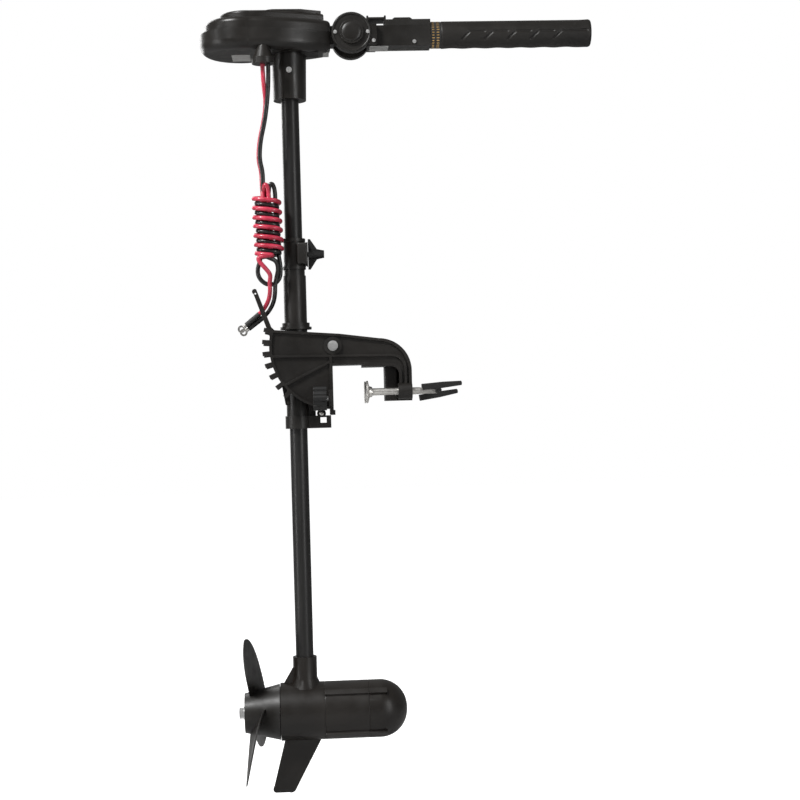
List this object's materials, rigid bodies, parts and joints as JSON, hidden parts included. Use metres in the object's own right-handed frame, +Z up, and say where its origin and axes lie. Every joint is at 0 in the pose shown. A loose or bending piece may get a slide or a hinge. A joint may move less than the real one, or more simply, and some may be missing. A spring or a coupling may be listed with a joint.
{
  "type": "trolling motor",
  "caption": "Electric outboard with hand tiller, clamp bracket, telescoping shaft, submerged motor pod with swept propeller, and battery leads.",
  "frame": {"origin": "middle of the bracket's seat face, where it rests on the transom's top edge", "axes": "+X into the boat along the tiller, +Z up along the shaft, Y across the boat"},
  "size_m": [0.625, 0.222, 1.2415],
  "materials": {
    "bracket_plastic": "moulded glass-filled nylon, fine grain",
    "head_plastic": "satin moulded ABS",
    "shaft_composite": "satin composite tube",
    "pod_paint": "semi-matte black paint on cast aluminium",
    "prop_plastic": "moulded reinforced nylon",
    "knob_plastic": "moulded",
    "grip_rubber": "moulded pattern",
    "stainless": "bright",
    "nickel": "nickel plate",
    "dial_plastic": "black with gold ticks and numbers",
    "inner_metal": "drawn",
    "steel": "ground",
    "copper": "copper",
    "ferrite": "sintered",
    "carbon": "pressed carbon",
    "nylon": "natural nylon",
    "circuit_board": "circuit board",
    "seal_rubber": "smooth",
    "lead_red": "red PVC insulation",
    "lead_black": "black PVC insulation",
    "tinned": "tinned copper"
  },
  "bodies": {
    "bracket": {"bracket_near_side": "bracket_plastic", "bracket_far_side": "bracket_plastic", "bracket_yoke": "bracket_plastic", "pivot_bolt": "stainless", "bracket_nuts": "stainless"},
    "steady": {"steady_knob": "knob_plastic", "steady_screw": "stainless"},
    "swivel": {"swivel_body": "bracket_plastic", "swivel_bushes": "nylon", "lever_pin": "stainless"},
    "lever": {"tilt_lever": "bracket_plastic"},
    "collar": {"depth_collar": "bracket_plastic"},
    "depth_screw": {"depth_stud": "stainless", "depth_knob": "knob_plastic"},
    "pad_near": {"clamp_pad_near": "nickel"},
    "screw_near": {"clamp_screw_near": "nickel"},
    "handle_near": {"clamp_handle_near": "knob_plastic"},
    "pad_far": {"clamp_pad_far": "nickel"},
    "screw_far": {"clamp_screw_far": "nickel"},
    "handle_far": {"clamp_handle_far": "knob_plastic"},
    "motor": {"shaft_tube": "shaft_composite", "head_lower_case": "head_plastic", "head_upper_case": "head_plastic", "top_panel": "head_plastic", "control_board": "circuit_board", "case_screws": "stainless", "socket_screw": "stainless", "lead_grommet": "seal_rubber", "motor_end_bell": "pod_paint", "motor_case": "pod_paint", "motor_nose": "pod_paint", "seals": "seal_rubber", "bearings": "steel", "through_bolts": "steel", "field_magnets": "ferrite", "brush_holder": "dial_plastic", "carbon_brushes": "carbon", "lead_red_upper": "lead_red", "lead_black_upper": "lead_black", "lead_hank": "lead_red", "lead_red_tail": "lead_red", "lead_black_tail": "lead_black", "lead_sleeves": "seal_rubber", "ring_terminals": "tinned"},
    "propeller": {"armature_shaft": "steel", "armature_core": "steel", "commutator": "copper", "propeller": "prop_plastic", "drive_pin": "stainless", "prop_nut": "stainless"},
    "tiller": {"tiller_arm": "head_plastic", "tiller_cover": "head_plastic", "tiller_pin": "steel", "hinge_caps": "head_plastic", "tiller_screws": "stainless"},
    "button": {"release_button": "head_plastic"},
    "extension": {"inner_tube": "inner_metal", "speed_switch": "dial_plastic", "dial_ring": "dial_plastic"},
    "throttle": {"throttle_grip": "grip_rubber"}
  },
  "joints": [
    {"name": "tilt", "type": "hinge", "parent": "bracket", "child": "swivel", "pos_m": [-0.023, 0, 0.03], "axis": [0, 1, 0], "range_deg": [0, 70]},
    {"name": "steering", "type": "hinge", "parent": "swivel", "child": "collar", "pos_m": [-0.08, 0, 0.154], "axis": [0, 0, 1], "range_deg": [-180, 180], "deforming": ["lead_red_tail", "lead_black_tail", "lead_sleeves", "ring_terminals"]},
    {"name": "depth", "type": "slide", "parent": "collar", "child": "motor", "axis": [0, 0, 1], "range_m": [0, 0.32]},
    {"name": "depth_lock", "type": "hinge", "parent": "collar", "child": "depth_screw", "pos_m": [-0.08, 0, 0.178], "axis": [1, 0, 0], "range_deg": [0, 360]},
    {"name": "steady_turn", "type": "hinge", "parent": "bracket", "child": "steady", "pos_m": [-0.0455, -0.0685, -0.052], "axis": [1, 0, 0], "range_deg": [0, 360]},
    {"name": "tilt_release", "type": "hinge", "parent": "swivel", "child": "lever", "pos_m": [-0.108, 0, 0.04], "axis": [0, 1, 0], "range_deg": [-5.1, 0]},
    {"name": "propeller_spin", "type": "hinge", "parent": "motor", "child": "propeller", "pos_m": [-0.15, 0, -0.549], "axis": [1, 0, 0], "continuous": true},
    {"name": "tiller_fold", "type": "hinge", "parent": "motor", "child": "tiller", "pos_m": [0.02, 0, 0.525], "axis": [0, 1, 0], "range_deg": [-90, 45]},
    {"name": "release_press", "type": "slide", "parent": "tiller", "child": "button", "axis": [0, 0, -1], "range_m": [0, 0.003], "stiffness_N_per_m": 700},
    {"name": "tiller_extend", "type": "slide", "parent": "tiller", "child": "extension", "axis": [1, 0, 0], "range_m": [0, 0.075]},
    {"name": "throttle_twist", "type": "hinge", "parent": "extension", "child": "throttle", "pos_m": [0.2, 0, 0.525], "axis": [1, 0, 0], "range_deg": [-60, 100]},
    {"name": "clamp_near_travel", "type": "slide", "parent": "bracket", "child": "pad_near", "axis": [1, 0, 0], "range_m": [-0.009, 0.028]},
    {"name": "clamp_near_turn", "type": "hinge", "parent": "pad_near", "child": "screw_near", "pos_m": [0.036, -0.042, -0.044], "axis": [1, 0, 0], "range_deg": [-1080.01, 3360.01]},
    {"name": "clamp_near_fold", "type": "hinge", "parent": "screw_near", "child": "handle_near", "pos_m": [0.141, -0.042, -0.044], "axis": [0, 1, 0], "range_deg": [0, 94.5]},
    {"name": "clamp_far_travel", "type": "slide", "parent": "bracket", "child": "pad_far", "axis": [1, 0, 0], "range_m": [-0.009, 0.028]},
    {"name": "clamp_far_turn", "type": "hinge", "parent": "pad_far", "child": "screw_far", "pos_m": [0.036, 0.042, -0.044], "axis": [1, 0, 0], "range_deg": [-1080.01, 3360.01]},
    {"name": "clamp_far_fold", "type": "hinge", "parent": "screw_far", "child": "handle_far", "pos_m": [0.141, 0.042, -0.044], "axis": [0, 1, 0], "range_deg": [-81.1, 0]}
  ],
  "couplings": [
    {"joint": "clamp_near_turn", "follows": "clamp_near_travel", "rad_per_m": 2094.4},
    {"joint": "clamp_far_turn", "follows": "clamp_far_travel", "rad_per_m": 2094.4}
  ]
}
